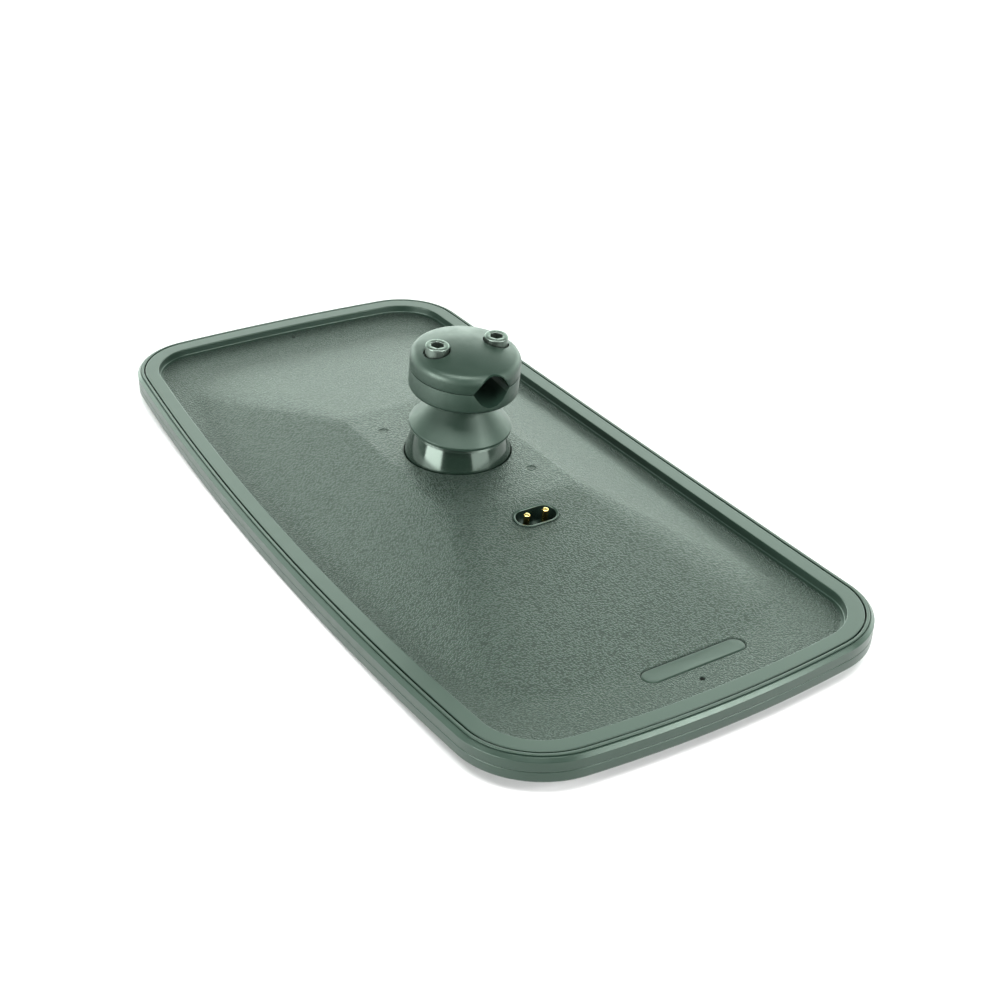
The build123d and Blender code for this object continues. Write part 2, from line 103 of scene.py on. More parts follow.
ball_y = 1.0 * MM
ball_z = 23.6 * MM
ball_radius = 23.1 * MM
ball_hollow = 19.5 * MM
ball_flange = 25.8 * MM
crown_bore = 12.8 * MM
flare_low = 1.5 * MM
flare_high = 12.9 * MM
flare_bulge = 0.25 * MM
flare_steps = 12
shell_bore = 23.4 * MM
mark_places = [(sx * 30.5 * MM, sy * 19.4 * MM) for sx in (-1, 1) for sy in (-1, 1)]
drain_places = [(-172.5 * MM, 1.0 * MM), (168.5 * MM, 3.5 * MM)]
drain_radius = 1.0 * MM
mark_radius = 2.2 * MM
badge_place = (157.9 * MM, 8.2 * MM)
badge_half_run = (46.8 - 9.2) / 2 * MM
badge_radius = 4.6 * MM
groove_from = -0.72 * MM
groove_to = -0.28 * MM

# Beside each feature of the shell: millimetres out from its edge, and how far the shell drops there
bore_profile = [(0, 0.28), (0.12, 0.1), (0.35, 0.02), (0.7, 0)]
socket_profile = [(0, 0.4), (0.1, 0.15), (0.3, 0.04), (0.6, 0)]
badge_profile = [(-1.3, 0.16), (-0.95, 0.2), (-0.7, 0.5), (-0.3, 0.5), (-0.05, 0.08), (0.15, 0)]
mark_profile = [(-0.6, 0.18), (-0.3, 0.3), (0, 0.1), (0.2, 0)]
drain_profile = [(0, 0.3), (0.15, 0.08), (0.4, 0)]

socket_x = 62.0 * MM
socket_y = 1.6 * MM
socket_half_run = (20.0 - 11.8) / 2 * MM
socket_radius = 5.9 * MM
socket_wall = 1.1 * MM
socket_lip = 0.4 * MM
socket_floor = -7.0 * MM
socket_low = -9.0 * MM
pin_radius = 1.25 * MM
pin_tail_radius = 0.9 * MM
pin_top = 2.0 * MM
pin_low = -11.0 * MM
pin_half_spacing = 4.45 * MM
slope_run = slope_half[0] - plateau_half[0]
socket_z = plateau_z - slope_drop * (socket_x - plateau_half[0]) / slope_run
socket_tilt = math.atan2(slope_drop, slope_run)

clamp_turn = Matrix.Rotation(math.radians(-0.9), 4, "X") @ Matrix.Rotation(math.radians(6.3), 4, "Y")
screw_turn = math.radians(85.0)
screw_offset = 13.5 * MM
screw_radius = 3.0 * MM
screw_low = 35.0 * MM
head_radius = 5.0 * MM
head_low = 49.33 * MM
head_high = 55.3 * MM
hexagon_half = 2.5 * MM
hexagon_floor = 52.1 * MM
clamp_radius = 23.3 * MM
arm_radius = 7.1 * MM

liner_inner = 23.2 * MM
liner_outer = 24.4 * MM
liner_low = 12.6 * MM
liner_high = 20.0 * MM
cup_inner = 24.5 * MM
cone_radius = 22.0 * MM
cone_low = 14.4 * MM
cone_edge_high = 15.7 * MM
neck_radius = 10.8 * MM
neck_low = 28.0 * MM
neck_high = 29.7 * MM
stud_bore = 4.1 * MM


# ---------------------------------------------------------------- materials

plastic_gloss = (0.80, 1.0, 0.87)


def new_material(name, gloss_tint=(1.0, 1.0, 1.0)):
    """A node material with one principled shader."""
    material = bpy.data.materials.new(name)
    material.use_nodes = True
    tree = material.node_tree
    tree.nodes.clear()
    output = tree.nodes.new("ShaderNodeOutputMaterial")
    shader = tree.nodes.new("ShaderNodeBsdfPrincipled")
    tree.links.new(shader.outputs["BSDF"], output.inputs["Surface"])
    shader.inputs["Specular Tint"].default_value = (*gloss_tint, 1.0)
    return material, tree, shader


def texture_point(tree):
    """Object coordinates, in metres."""
    return tree.nodes.new("ShaderNodeTexCoord").outputs["Object"]


def noise(tree, scale, detail=3.0):
    """Noise at a scale in features per metre."""
    node = tree.nodes.new("ShaderNodeTexNoise")
    node.inputs["Scale"].default_value = scale
    node.inputs["Detail"].default_value = detail
    node.inputs["Roughness"].default_value = 0.55
    tree.links.new(texture_point(tree), node.inputs["Vector"])
    return node.outputs["Fac"]


def ramp(tree, value, stops):
    """Colour ramp from (position, grey or colour) stops."""
    node = tree.nodes.new("ShaderNodeValToRGB")
    elements = node.color_ramp.elements
    while len(elements) < len(stops):
        elements.new(0.5)
    for element, (position, colour) in zip(elements, stops):
        element.position = position
        shade = (colour,) * 3 if isinstance(colour, float) else colour
        element.color = (*shade, 1.0)
    tree.links.new(value, node.inputs["Fac"])
    return node.outputs["Color"]


def fill_inputs(tree, node, values):
    """Links or sets a node's first inputs from sockets and constants."""
    for socket, value in zip(node.inputs, values):
        if isinstance(value, bpy.types.NodeSocket):
            tree.links.new(value, socket)
        else:
            socket.default_value = value


def math_node(tree, operation, *values):
    """One sum or product of sockets or numbers."""
    node = tree.nodes.new("ShaderNodeMath")
    node.operation = operation
    fill_inputs(tree, node, values)
    return node.outputs["Value"]


def vector_node(tree, operation, *values):
    """One sum or product of vectors: a length or a dot product is a number, the rest are vectors."""
    node = tree.nodes.new("ShaderNodeVectorMath")
    node.operation = operation
    fill_inputs(tree, node, values)
    return node.outputs["Value" if operation in ("LENGTH", "DOT_PRODUCT") else "Vector"]


def multiplied(tree, first, second):
    """Product of a colour socket with another one, or with a constant colour."""
    node = tree.nodes.new("ShaderNodeMix")
    node.data_type = "RGBA"
    node.blend_type = "MULTIPLY"
    node.inputs["Factor"].default_value = 1.0
    tree.links.new(first, node.inputs["A"])
    if isinstance(second, bpy.types.NodeSocket):
        tree.links.new(second, node.inputs["B"])
    else:
        node.inputs["B"].default_value = second
    return node.outputs["Result"]


def bump(tree, shader, height, distance, under=None):
    """Bump of a real depth in metres, on top of another bump if there is one."""
    node = tree.nodes.new("ShaderNodeBump")
    node.inputs["Strength"].default_value = 1.0
    node.inputs["Distance"].default_value = distance
    tree.links.new(height, node.inputs["Height"])
    if under is not None:
        tree.links.new(under, node.inputs["Normal"])
    tree.links.new(node.outputs["Normal"], shader.inputs["Normal"])
    return node.outputs["Normal"]


def shade(colour, factor):
    """A colour made lighter or darker."""
    return tuple(min(1.0, channel * factor) for channel in colour)


def smooth_plastic(name, colour, roughness, orange_peel=0.004):
    """Moulded plastic: slow colour drift, uneven gloss, faint orange peel of a depth in millimetres."""
    material, tree, shader = new_material(name, plastic_gloss)
    drift = ramp(tree, noise(tree, 35.0), [(0.3, shade(colour, 0.93)), (0.7, shade(colour, 1.07))])
    tree.links.new(drift, shader.inputs["Base Color"])
    gloss = ramp(tree, noise(tree, 160.0, 5.0), [(0.3, roughness * 0.88), (0.75, roughness * 1.14)])
    tree.links.new(gloss, shader.inputs["Roughness"])
    peel = bump(tree, shader, noise(tree, 900.0, 2.0), orange_peel * MM)
    bump(tree, shader, noise(tree, 5200.0, 2.0), 0.35 * orange_peel * MM, under=peel)
    return material


def grained_plastic(name, colour, roughness):
    """Moulded leather grain: rounded pebbles under a millimetre across, between fine valleys painted darker as
    shade.
    """
    material, tree, shader = new_material(name, plastic_gloss)
    point = texture_point(tree)
    warp = tree.nodes.new("ShaderNodeTexNoise")
    warp.inputs["Scale"].default_value = 700.0
    warp.inputs["Detail"].default_value = 2.0
    tree.links.new(point, warp.inputs["Vector"])
    shifted = vector_node(tree, "MULTIPLY_ADD", warp.outputs["Color"], (0.9 * MM,) * 3, point)
    pebbles = tree.nodes.new("ShaderNodeTexVoronoi")
    pebbles.feature = "SMOOTH_F1"
    pebbles.inputs["Scale"].default_value = 1300.0
    pebbles.inputs["Smoothness"].default_value = 0.25
    tree.links.new(shifted, pebbles.inputs["Vector"])
    mound = ramp(tree, pebbles.outputs["Distance"], [(0.05, 1.0), (0.32, 0.72), (0.62, 0.0)])
    fine = noise(tree, 2600.0, 3.0)
    height = math_node(tree, "ADD", mound, math_node(tree, "MULTIPLY", fine, 0.35))
    bump(tree, shader, height, 0.40 * MM)
    # Painted shade: the valleys between the pebbles are coloured darker than the pebble tops
    painted_valley_shade = ramp(tree, mound, [(0.0, shade(colour, 0.40)), (1.0, shade(colour, 1.15))])
    drift = ramp(tree, noise(tree, 22.0, 3.0), [(0.3, 0.90), (0.7, 1.0)])
    tree.links.new(multiplied(tree, painted_valley_shade, drift), shader.inputs["Base Color"])
    gloss = ramp(tree, height, [(0.1, roughness * 1.25), (1.0, roughness * 0.85)])
    tree.links.new(gloss, shader.inputs["Roughness"])
    return material


def metal(name, colour, roughness):
    """Plated or brushed metal with uneven gloss."""
    material, tree, shader = new_material(name)
    shader.inputs["Metallic"].default_value = 1.0
    tone = ramp(tree, noise(tree, 120.0, 4.0), [(0.3, shade(colour, 0.86)), (0.7, shade(colour, 1.08))])
    tree.links.new(tone, shader.inputs["Base Color"])
    gloss = ramp(tree, noise(tree, 900.0, 4.0), [(0.25, roughness * 0.75), (0.75, roughness * 1.3)])
    tree.links.new(gloss, shader.inputs["Roughness"])
    bump(tree, shader, noise(tree, 2700.0, 2.0), 0.004 * MM)
    return material


def foam(name, colour, scale):
    """Cut foam: open cells with painted shade inside them, and no gloss."""
    material, tree, shader = new_material(name)
    cells = tree.nodes.new("ShaderNodeTexVoronoi")
    cells.inputs["Scale"].default_value = scale
    tree.links.new(texture_point(tree), cells.inputs["Vector"])
    # Painted shade: each cell is coloured darker towards its middle, as shade in the pore
    painted_pore_shade = ramp(tree, cells.outputs["Distance"], [(0.1, shade(colour, 0.5)), (0.5, colour)])
    tree.links.new(painted_pore_shade, shader.inputs["Base Color"])
    shader.inputs["Roughness"].default_value = 0.9
    bump(tree, shader, cells.outputs["Distance"], 0.08 * MM)
    return material


def mirror_coat(name):
    """Silvered glass: a clear coat over a bright metal, with the faintest drift of tone."""
    material, tree, shader = new_material(name)
    shader.inputs["Metallic"].default_value = 1.0
    tone = ramp(tree, noise(tree, 9.0, 2.0), [(0.3, (0.80, 0.82, 0.83)), (0.7, (0.83, 0.85, 0.855))])
    tree.links.new(tone, shader.inputs["Base Color"])
    gloss = ramp(tree, noise(tree, 60.0, 3.0), [(0.3, 0.012), (0.8, 0.03)])
    tree.links.new(gloss, shader.inputs["Roughness"])
    return material


def film(name, colour):
    """Printed heater film: conductive tracks across a thin plastic sheet."""
    material, tree, shader = new_material(name)
    waves = tree.nodes.new("ShaderNodeTexWave")
    waves.inputs["Scale"].default_value = 40.0
    waves.inputs["Distortion"].default_value = 0.3
    tree.links.new(texture_point(tree), waves.inputs["Vector"])
    tracks = ramp(tree, waves.outputs["Fac"], [(0.42, colour), (0.5, shade(colour, 0.4))])
    tree.links.new(tracks, shader.inputs["Base Color"])
    shader.inputs["Roughness"].default_value = 0.35
    return material


materials = {
    "shell_plastic": grained_plastic("grained_shell", (0.008, 0.017, 0.012), 0.42),
    "rim_plastic": smooth_plastic("smooth_rim", (0.008, 0.017, 0.012), 0.32),
    "mirror_coating": mirror_coat("silvered_glass"),
    "seal_foam": foam("seal_foam", (0.05, 0.05, 0.05), 1500.0),
    "heater_film": film("heater_film", (0.72, 0.45, 0.12)),
    "tape_foam": foam("tape_foam", (0.12, 0.12, 0.12), 1300.0),
    "contact_brass": metal("contact_brass", (0.83, 0.62, 0.22), 0.18),
    "lead_jacket": smooth_plastic("lead_jacket", (0.05, 0.05, 0.05), 0.5, 0.01),
    "zinc_steel": metal("zinc_steel", (0.62, 0.63, 0.62), 0.32),
    "ball_gloss": smooth_plastic("ball_gloss", (0.004, 0.009, 0.006), 0.14, 0.0008),
    "clamp_nylon": smooth_plastic("clamp_nylon", (0.008, 0.017, 0.012), 0.46, 0.006),
    "liner_plastic": smooth_plastic("liner_plastic", (0.008, 0.015, 0.011), 0.25, 0.004),
    "screw_coating": metal("screw_coating", (0.12, 0.15, 0.13), 0.36),
}


def near_line(tree, place, direction, reach):
    """1 within a distance of a line, 0 beyond it."""
    away = vector_node(tree, "SUBTRACT", texture_point(tree), place)
    distance = vector_node(tree, "LENGTH", vector_node(tree, "CROSS_PRODUCT", away, direction))
    share = math_node(tree, "DIVIDE", distance, 2 * reach)
    return ramp(tree, share, [(0.5, 1.0), (0.51, 0.0)])


def paint_shade_in_arm_bore(material):
    """Paints shade into the arm's passage through the clamp: takes the gloss off its walls so they stay dark."""
    tree = material.node_tree
    mount = [m for m in frame["record"]["mounts"] if m["name"] == "arm_clamp"][0]
    swivel = [j for j in frame["joints"] if j["name"] == "clamp_swivel"][0]
    near_arm = near_line(tree, mount["pos_m"], mount["axis"], arm_radius + 0.4 * MM)
    inside = near_line(tree, (0, ball_y, ball_z), swivel["axis"], clamp_radius - 0.4 * MM)
    wall = math_node(tree, "MULTIPLY", near_arm, inside)
    # Painted shade: inside the passage the reflection is turned down almost to nothing
    gloss = ramp(tree, wall, [(0.0, 0.5), (1.0, 0.02)])
    tree.links.new(gloss, tree.nodes["Principled BSDF"].inputs["Specular IOR Level"])


paint_shade_in_arm_bore(materials["clamp_nylon"])
inner_gloss = smooth_plastic("inner_gloss", (0.006, 0.012, 0.009), 0.16, 0.002)
badge_plastic = smooth_plastic("badge_plastic", (0.008, 0.017, 0.012), 0.38, 0.006)
# Painted shade: near-black, rough plastic for the badge's groove and the walls of the shell's holes
painted_hole_shade = smooth_plastic("painted_hole_shade", (0.004, 0.005, 0.005), 0.6, 0.004)

for subpart in frame["record"]["subparts"]:
    mesh = nodes[subpart["node"]].data
    mesh.materials.clear()
    mesh.materials.append(materials[subpart["material_slot"]])

for clamp_half in ("clamp_base", "clamp_cap"):
    weld = nodes[clamp_half].modifiers.new("weld", "WELD")
    weld.merge_threshold = 0.01 * MM
    edge = nodes[clamp_half].modifiers.new("edge", "BEVEL")
    edge.width = 0.3 * MM
    edge.segments = 3
    edge.limit_method = "ANGLE"
    edge.angle_limit = math.radians(35.0)


# ---------------------------------------------------------------- mesh helpers


def rounded(corners, steps=5):
    """Closed section through corners (across, up, radius), each corner turned into an arc."""
    points = []
    for index, (across, up, radius) in enumerate(corners):
        corner = Vector((across, up))
        before = (Vector(corners[index - 1][:2]) - corner).normalized()
        after = (Vector(corners[(index + 1) % len(corners)][:2]) - corner).normalized()
        if radius == 0:
            points.append(corner)
            continue
        half = before.angle(after) / 2
        centre = corner + (before + after).normalized() * radius / math.sin(half)
        start = corner + before * radius / math.tan(half) - centre
        end = corner + after * radius / math.tan(half) - centre
        turn = start.angle_signed(end)
        for step in range(steps + 1):
            points.append(centre + Matrix.Rotation(-turn * step / steps, 2) @ start)
    return points


def finished(name, bm, body, slot_name, *stands_for, sharp=40.0):
    """Turn a bmesh into a piece of the object that rides on a body."""
    bmesh.ops.recalc_face_normals(bm, faces=bm.faces)
    mesh = bpy.data.meshes.new(name)
    bm.to_mesh(mesh)
    bm.free()
    for polygon in mesh.polygons:
        polygon.use_smooth = True
    mesh.set_sharp_from_angle(angle=math.radians(sharp))
    piece = bpy.data.objects.new(name, mesh)
    bpy.context.scene.collection.objects.link(piece)
    mesh.materials.append(materials[slot_name])
    weighted = piece.modifiers.new("weighted_normals", "WEIGHTED_NORMAL")
    weighted.keep_sharp = True
    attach(piece, body)
    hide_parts(*stands_for)
    return piece


def loops_to_faces(bm, loops, closed=True):
    """Quads between neighbouring loops of vertices; a closed set joins the last to the first."""
    faces = []
    pairs = list(zip(loops, loops[1:]))
    if closed:
        pairs.append((loops[-1], loops[0]))
    for lower, upper in pairs:
        for index in range(len(lower)):
            after = (index + 1) % len(lower)
            faces.append(bm.faces.new((lower[index], lower[after], upper[after], upper[index])))
    return faces


# ---------------------------------------------------------------- head outline


def curve_z(height, reach):
    """Height above the floor of a layer of the head, at a distance from the middle."""
    return curve_radius - rest_drop - np.sqrt((curve_radius - height) ** 2 - reach**2)


long_centre = Vector((0, half_width - long_bow))
short_centre = Vector((half_length - short_bow, 0))
spread = short_centre - long_centre
long_reach = long_bow - corner_radius
short_reach = short_bow - corner_radius
along = (long_reach**2 - short_reach**2 + spread.length_squared) / (2 * spread.length)
aside = math.sqrt(long_reach**2 - along**2)
unit = spread.normalized()
corner_centre = long_centre + unit * along + Vector((unit.y, -unit.x)) * aside
to_corner = corner_centre - short_centre
first_turn = math.atan2(to_corner.y, to_corner.x)
to_corner = corner_centre - long_centre
second_turn = math.atan2(to_corner.y, to_corner.x)


def station(angle):
    """Centre, radius and direction of the outline where it faces an angle."""
    folded = math.atan2(abs(math.sin(angle)), abs(math.cos(angle)))
    if folded < first_turn:
        centre, radius = short_centre, short_bow
    elif folded < second_turn:
        centre, radius = corner_centre, corner_radius
    else:
        centre, radius = long_centre, long_bow
    side_x = math.copysign(1, math.cos(angle))
    side_y = math.copysign(1, math.sin(angle))
    return Vector((centre.x * side_x, centre.y * side_y)), radius, angle


quarter = [first_turn * (k + 0.5) / 18 for k in range(18)]
quarter += [first_turn + (second_turn - first_turn) * (k + 0.5) / 24 for k in range(24)]
quarter += [second_turn + (math.pi / 2 - second_turn) * (k + 0.5) / 36 for k in range(36)]
half_turn = quarter + [math.pi - angle for angle in reversed(quarter)]
stations = [station(angle) for angle in half_turn + [angle + math.pi for angle in half_turn]]


def outline(inset):
    """The head's outline drawn in by inset."""
    points = []
    for centre, radius, angle in stations:
        points.append(centre + (radius - inset) * Vector((math.cos(angle), math.sin(angle))))
    return points


def swept_loops(bm, section):
    """One loop of vertices along the outline for each (inset, height) point of a section."""
    loops = []
    for inset, height in section:
        loops.append([bm.verts.new((p.x, p.y, curve_z(height, p.length))) for p in outline(inset)])
    return loops


def swept(name, corners, slot_name, *stands_for):
    """A closed section swept round the head; corners are (inset, height, radius)."""
    bm = bmesh.new()
    loops_to_faces(bm, swept_loops(bm, rounded(corners)))
    return finished(name, bm, "mirror_head", slot_name, *stands_for)


swept(
    "bezel",
    [
        (lip_inset, 0.0, 0.5 * MM),
        (0.0, 0.0, 1.0 * MM),
        (0.0, parting_high, 0.35 * MM),
        (tongue_out, parting_high, 0),
        (tongue_out, tongue_high, 0),
        (tongue_in, tongue_high, 0),
        (tongue_in, glass_low, 0),
        (lip_inset, glass_low, 0.3 * MM),
    ],
    "rim_plastic",
    "front_bezel",
)
swept(
    "rim_frame",
    [
        (0.0, parting_high, 0.35 * MM),
        (0.0, bevel_low, 0.3 * MM),
        (bevel_run, rim_shoulder, 0.3 * MM),
        (bead_out - 0.32 * MM, rim_shoulder, 0.1 * MM),
        (bead_out - 0.16 * MM, rim_shoulder - 0.4 * MM, 0.05 * MM),
        (bead_out, rim_top, 0.28 * MM),
        (tongue_in, rim_top, 0.3 * MM),
        (tongue_in, seat_high, 0),
        (frame_in, seat_high, 0),
        (frame_in, seat_low, 0),
        (tongue_in + fit_gap, seat_low, 0),
        (tongue_in + fit_gap, tongue_high + fit_gap, 0),
        (tongue_out - fit_gap, tongue_high + fit_gap, 0),
        (tongue_out - fit_gap, parting_high, 0),
    ],
    "rim_plastic",
    "edge_frame",
)

# ---------------------------------------------------------------- back shell


def box_distance(x, y, half, radius):
    """Signed distance from a rectangle with rounded corners."""
    qx = np.abs(x) - (half[0] - radius)
    qy = np.abs(y) - (half[1] - radius)
    outside = np.hypot(np.maximum(qx, 0), np.maximum(qy, 0))
    return outside + np.minimum(np.maximum(qx, qy), 0) - radius


def slope_share(x, y):
    """How far down the slopes a point is: 0 at the plateau's edge, 1 at the foot, under 0 inside."""
    low, high = np.full_like(x, -0.12), np.full_like(x, 1.3)
    for _ in range(40):
        middle = (low + high) / 2
        half = [a + (b - a) * middle for a, b in zip(plateau_half, slope_half)]
        radius = np.maximum(plateau_corner + (slope_corner - plateau_corner) * middle, 0)
        beyond = box_distance(x, y, half, radius) > 0
        low = np.where(beyond, middle, low)
        high = np.where(beyond, high, middle)
    return (low + high) / 2


def soft_max(first, second, width):
    """The higher of two surfaces, with the crease between them rounded."""
    return (first + second + np.sqrt((first - second) ** 2 + width**2)) / 2


def slot_distance(x, y, place, half_run, radius, squeeze=1.0):
    """Signed distance from an oblong along Y; squeeze narrows it across."""
    dx = (x - place[0]) / squeeze
    dy = np.maximum(np.abs(y - place[1]) - half_run, 0)
    return np.hypot(dx, dy) - radius


def inset_of(x, y):
    """Distance in from the head's outline."""
    ax, ay = np.abs(x), np.abs(y)
    long_gap = long_bow - np.hypot(ax - long_centre.x, ay - long_centre.y)
    short_gap = short_bow - np.hypot(ax - short_centre.x, ay - short_centre.y)
    direction = np.arctan2(ay - corner_centre.y, ax - corner_centre.x)
    in_corner = (direction > first_turn) & (direction < second_turn)
    corner_gap = corner_radius - np.hypot(ax - corner_centre.x, ay - corner_centre.y)
    return np.where(in_corner, corner_gap, np.minimum(long_gap, short_gap))


socket_squeeze = math.cos(socket_tilt)


def features(x, y):
    """Signed distances from each feature of the shell, with its profile; the drain holes come last."""
    socket_place = (socket_x, socket_y)
    socket = slot_distance(x, y, socket_place, socket_half_run, socket_radius, socket_squeeze)
    rows = [
        (np.hypot(x, y - ball_y) - shell_bore, bore_profile),
        (socket, socket_profile),
        (slot_distance(x, y, badge_place, badge_half_run, badge_radius), badge_profile),
    ]
    for place in mark_places:
        rows.append((np.hypot(x - place[0], y - place[1]) - mark_radius, mark_profile))
    for place in drain_places:
        rows.append((np.hypot(x - place[0], y - place[1]) - drain_radius, drain_profile))
    return rows


def top_z(x, y):
    """Upper surface of the shell inside its rim."""
    share = slope_share(x, y)
    soft_share = (share + np.sqrt(share**2 + crease_share**2)) / 2
    rise = plateau_z - slope_drop * soft_share
    surface = soft_max(curve_z(floor_high, np.hypot(x, y)), rise, foot_blend)
    for distance, profile in features(x, y):
        reach, drop = zip(*profile)
        surface = surface - np.interp(distance / MM, reach, drop) * MM
    return surface


def under_z(x, y):
    """Lower surface of the shell inside its rim."""
    rise = plateau_z - shell_wall - slope_drop * np.maximum(slope_share(x, y), 0)
    return soft_max(curve_z(floor_low, np.hypot(x, y)), rise, foot_blend)


def circle_points(place, radius, count):
    """Points round a circle."""
    turns = [2 * math.pi * k / count for k in range(count)]
    return [(place[0] + radius * math.cos(t), place[1] + radius * math.sin(t)) for t in turns]


def slot_points(place, half_run, radius, count, squeeze=1.0):
    """Points round an oblong along Y."""
    points = []
    for k in range(count):
        turn = 2 * math.pi * (k + 0.5) / count
        x, y = radius * math.cos(turn) * squeeze, radius * math.sin(turn)
        points.append((place[0] + x, place[1] + y + math.copysign(half_run, y)))
    return points


def share_points(share, count):
    """Points round the plateau's rounded edge, grown by a share of the slopes."""
    half = [a + (b - a) * share for a, b in zip(plateau_half, slope_half)]
    radius = plateau_corner + (slope_corner - plateau_corner) * share
    points = []
    for sx, sy, start in ((1, 1, 0), (-1, 1, 90), (-1, -1, 180), (1, -1, 270)):
        for k in range(count):
            turn = math.radians(start + 90 * k / (count - 1))
            x = sx * (half[0] - radius) + radius * math.cos(turn)
            y = sy * (half[1] - radius) + radius * math.sin(turn)
            points.append((x, y))
    return points


def reaches(profile):
    """The distances of a feature's profile."""
    return [reach for reach, _ in profile]


def shell_triangles():
    """Flat triangulation of the shell's inside, with a loop of edges along every feature."""
    rings = [[tuple(p) for p in outline(join_inset)]]
    rings += [share_points(share, 10) for share in (-crease_share, 0.0, crease_share)]
    for grow in reaches(bore_profile) + [1.4]:
        rings.append(circle_points((0, ball_y), shell_bore + grow * MM, 180))
    socket_place = (socket_x, socket_y)
    for grow in reaches(socket_profile):
        radius = socket_radius + grow * MM
        rings.append(slot_points(socket_place, socket_half_run, radius, 72, socket_squeeze))
    for grow in reaches(badge_profile) + [0.5]:
        rings.append(slot_points(badge_place, badge_half_run, badge_radius + grow * MM, 72))
    for place in mark_places:
        for grow in reaches(mark_profile):
            rings.append(circle_points(place, mark_radius + grow * MM, 36))
    for place in drain_places:
        for grow in reaches(drain_profile):
            rings.append(circle_points(place, drain_radius + grow * MM, 28))
    points, edges = [], []
    for ring in rings:
        start = len(points)
        points += [Vector(p) for p in ring]
        edges += [(start + k, start + (k + 1) % len(ring)) for k in range(len(ring))]
    pitch = 2.2 * MM
    rows = int(2 * half_width / (pitch * 0.866))
    columns = int(2 * half_length / pitch)
    for row in range(rows + 1):
        y = -half_width + row * pitch * 0.866
        x = -half_length + pitch * (np.arange(columns + 1) + 0.5 * (row % 2))
        y = np.full_like(x, y)
        keep = inset_of(x, y) > join_inset + 1.2 * MM
        for distance, profile in features(x, y):
            first, last = profile[0][0] - 1.1, profile[-1][0] + 1.1
            keep &= (distance > last * MM) | (distance < first * MM)
        keep &= np.abs(slope_share(x, y)) > 1.6 * crease_share
        points += [Vector((a, b)) for a, b in zip(x[keep], y[keep])]
    made = delaunay_2d_cdt(points, edges, [], 0, 1e-7)
    return np.array([tuple(p) for p in made[0]]), [tuple(f) for f in made[2]]


def back_shell():
    """The shell: rim section swept round the outline, joined to the surface inside it."""
    flat, triangles = shell_triangles()
    x, y = flat[:, 0], flat[:, 1]
    upper, lower = top_z(x, y), under_z(x, y)
    middles = flat[np.array(triangles)].mean(axis=1)
    cx, cy = middles[:, 0], middles[:, 1]
    rows = features(cx, cy)
    holes = [0, 1] + list(range(len(rows) - len(drain_places), len(rows)))
    keep = inset_of(cx, cy) > join_inset
    for hole in holes:
        keep &= rows[hole][0] > 0
    badge = rows[2][0]
    plaque = badge < groove_from
    groove = (badge > groove_from) & (badge < groove_to)
    bm = bmesh.new()
    grained, smooth, plain, painted_shade_slot = range(4)
    tops = [bm.verts.new((a, b, c)) for a, b, c in zip(x, y, upper)]
    unders = [bm.verts.new((a, b, c)) for a, b, c in zip(x, y, lower)]
    used = {}
    for index, triangle in enumerate(triangles):
        if not keep[index]:
            continue
        face = bm.faces.new([tops[v] for v in triangle])
        # Painted shade: the badge's groove and, below, the walls of the holes take the dark material
        face.material_index = painted_shade_slot if groove[index] else plain if plaque[index] else grained
        bm.faces.new([unders[v] for v in reversed(triangle)])
        for a, b in zip(triangle, triangle[1:] + triangle[:1]):
            used[(a, b)] = True
    for a, b in list(used):
        edge_middle = (flat[a] + flat[b]) / 2
        on_outline = inset_of(edge_middle[0], edge_middle[1]) < join_inset + 0.3 * MM
        if (b, a) not in used and not on_outline:
            wall = bm.faces.new((tops[b], tops[a], unders[a], unders[b]))
            wall.material_index = painted_shade_slot
    corners = [
        (join_inset, floor_high, 0),
        (rim_toe, floor_high, 0.5 * MM),
        (rim_in, rim_top, 0.4 * MM),
        (3.8 * MM, rim_top, 0.35 * MM),
        (3.8 * MM, seat_high, 0),
        (5.8 * MM, seat_high, 0),
        (5.8 * MM, rib_high, 0),
        (lip_inset + fit_gap, rib_high, 0),
        (lip_inset + fit_gap, floor_low, 0),
        (join_inset, floor_low, 0),
    ]
    section = rounded(corners, 8)
    loops = swept_loops(bm, section)
    for vertex in loops[0]:
        vertex.co.z = top_z(np.array([vertex.co.x]), np.array([vertex.co.y]))[0]
    for vertex in loops[-1]:
        vertex.co.z = under_z(np.array([vertex.co.x]), np.array([vertex.co.y]))[0]
    for face in loops_to_faces(bm, loops, closed=False):
        face.material_index = smooth
    bmesh.ops.remove_doubles(bm, verts=bm.verts, dist=2e-6)
    loose = [vertex for vertex in bm.verts if not vertex.link_faces]
    bmesh.ops.delete(bm, geom=loose, context="VERTS")
    piece = finished("shell", bm, "mirror_head", "shell_plastic", "back_shell", sharp=55.0)
    for material in (materials["rim_plastic"], badge_plastic, painted_hole_shade):
        piece.data.materials.append(material)
    return piece


back_shell()

# ---------------------------------------------------------------- ball joint


def ring_vertices(bm, radius, up, count, place, across_flats):
    """A loop of vertices: a circle, or a hexagon with that half width across its flats."""
    loop = []
    for k in range(count):
        turn = 2 * math.pi * k / count
        reach = radius
        if across_flats:
            reach = radius / math.cos((turn + math.pi / 6) % (math.pi / 3) - math.pi / 6)
        x, y = reach * math.cos(turn), reach * math.sin(turn)
        loop.append(bm.verts.new((place[0] + x, place[1] + y, up)))
    return loop


